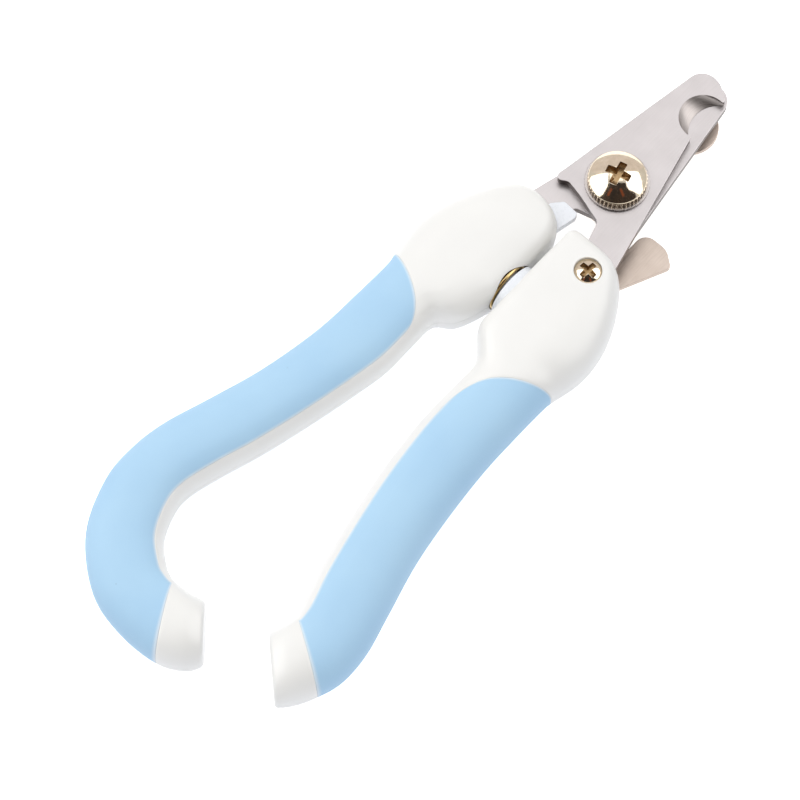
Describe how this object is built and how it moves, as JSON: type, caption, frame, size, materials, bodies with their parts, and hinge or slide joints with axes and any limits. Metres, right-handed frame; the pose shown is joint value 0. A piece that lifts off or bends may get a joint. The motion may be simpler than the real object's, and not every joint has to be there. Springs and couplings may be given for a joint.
{
  "type": "pet nail clipper",
  "caption": "Scissor-type pet claw clipper: crossed notched blades on a domed pivot screw, sprung white handles with soft blue grips, one hooked, and a swinging guard.",
  "frame": {"origin": "centre of the pivot nut's flat back face, on the pivot axis", "axes": "+Z along the pivot axis to the front, where the domed screw head is; +Y along the closed tool to the blade tips"},
  "size_m": [0.058, 0.1545, 0.0139],
  "materials": {
    "blade_steel": "fine ground",
    "guard_steel": "brushed",
    "washer_steel": "satin",
    "champagne_nickel": "polished, warm nickel plate",
    "spring_wire": "plated spring wire",
    "insert_brass": "turned",
    "white_plastic": "satin moulded",
    "inner_plastic": "satin moulded",
    "soft_grip": "soft matte overmould"
  },
  "bodies": {
    "left_half": {"rear_blade": "blade_steel", "pivot_screw": "champagne_nickel", "pivot_washer": "washer_steel", "pivot_nut": "champagne_nickel", "guard_spacer": "washer_steel", "wave_washer": "washer_steel", "left_front_shell": "white_plastic", "left_rear_shell": "white_plastic", "left_grip": "soft_grip", "left_handle_screw": "champagne_nickel", "left_screw_insert": "insert_brass", "opening_stop": "inner_plastic", "handle_spring": "spring_wire"},
    "right_half": {"front_blade": "blade_steel", "right_front_shell": "white_plastic", "right_rear_shell": "white_plastic", "right_grip": "soft_grip", "right_handle_screw": "champagne_nickel", "right_screw_insert": "insert_brass", "spring_seat": "inner_plastic"},
    "guard": {"guard_plate": "guard_steel"}
  },
  "joints": [
    {"name": "handle_hinge", "type": "hinge", "parent": "left_half", "child": "right_half", "pos_m": [0, 0, 0.007], "axis": [0, 0, 1], "range_deg": [0, 18], "stiffness_Nm_per_rad": 0.3, "springref_deg": 20.05, "deforming": ["handle_spring"]},
    {"name": "guard_hinge", "type": "hinge", "parent": "left_half", "child": "guard", "pos_m": [0, 0, 0.0025], "axis": [0, 0, 1], "range_deg": [0, 60]}
  ]
}
